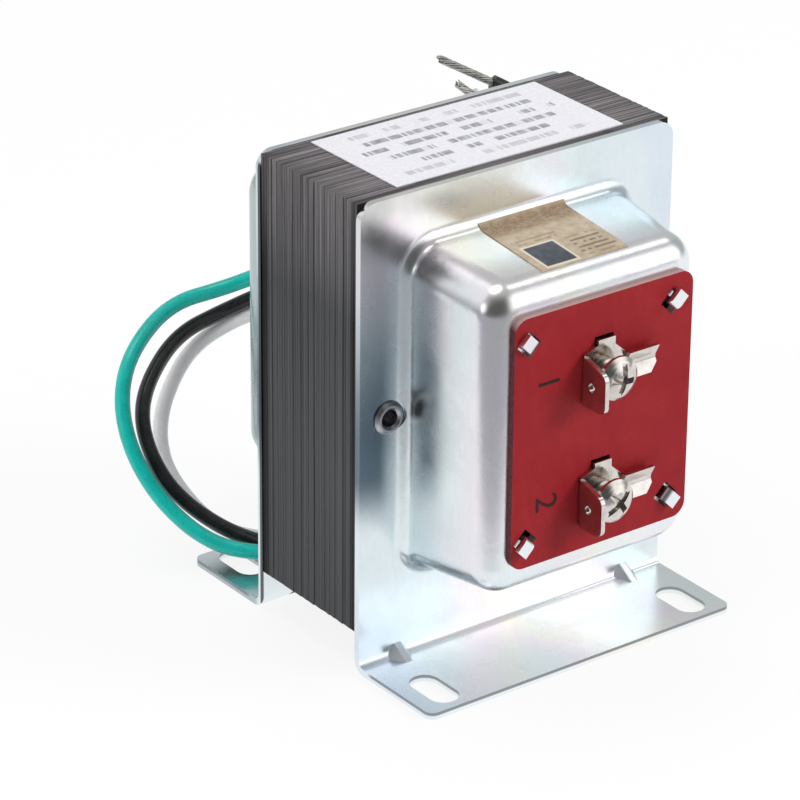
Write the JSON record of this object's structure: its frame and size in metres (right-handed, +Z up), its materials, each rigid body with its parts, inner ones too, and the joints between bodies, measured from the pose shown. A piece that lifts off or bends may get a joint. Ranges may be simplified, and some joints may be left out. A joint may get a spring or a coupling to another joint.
{
  "type": "doorbell transformer",
  "caption": "Foot-mounted doorbell transformer with a laminated core between two drawn steel covers, a red screw terminal board and loose supply leads.",
  "frame": {"origin": "centre of the bounding box's underside, leads apart, on the surface that the feet stand on", "axes": "+Z up from the feet, -Y out of the terminal board, +X to the right seen from the terminals"},
  "size_m": [0.0724, 0.088, 0.0725],
  "materials": {
    "black_lead": "satin",
    "bushing_plastic": "moulded",
    "copper": "enamelled",
    "fish_paper": "paper",
    "gold_label": "paper",
    "green_lead": "satin",
    "lamination": "dark oxidised sheet edges",
    "nickel": "bright nickel plate",
    "nylon": "moulded",
    "plated_steel": "bright zinc plate, faintly iridescent",
    "red_fibre": "satin",
    "rivet_steel": "dull plated",
    "splice_sleeve": "sleeve",
    "tinned_wire": "bright tinned",
    "white_label": "paper",
    "white_lead": "satin",
    "wrap_tape": "tape"
  },
  "bodies": {
    "root": {"e_laminations_left": "lamination", "e_laminations_right": "lamination", "i_laminations_left": "lamination", "i_laminations_right": "lamination", "front_cover": "plated_steel", "rear_cover": "plated_steel", "rivet_left": "rivet_steel", "rivet_right": "rivet_steel", "terminal_board": "red_fibre", "terminal_plate_upper": "nickel", "terminal_plate_lower": "nickel", "terminal_screw_upper": "nickel", "terminal_screw_lower": "nickel", "secondary_wire_upper": "copper", "secondary_wire_lower": "copper", "rating_label": "white_label", "cover_label": "gold_label", "bobbin": "nylon", "primary_winding": "copper", "secondary_winding": "copper", "primary_wrap": "wrap_tape", "secondary_wrap": "wrap_tape", "front_insulator": "fish_paper", "rear_insulator": "fish_paper", "lead_bushing": "bushing_plastic", "inner_lead_black": "black_lead", "inner_lead_white": "white_lead", "inner_lead_green": "green_lead", "ground_lug": "nickel", "splice_black": "splice_sleeve", "splice_white": "splice_sleeve", "thermal_fuse": "nickel", "primary_return_wire": "copper", "lead_green": "green_lead", "lead_black": "black_lead", "lead_white": "white_lead", "strands_green": "tinned_wire", "strands_black": "tinned_wire", "strands_white": "tinned_wire"}
  },
  "joints": []
}
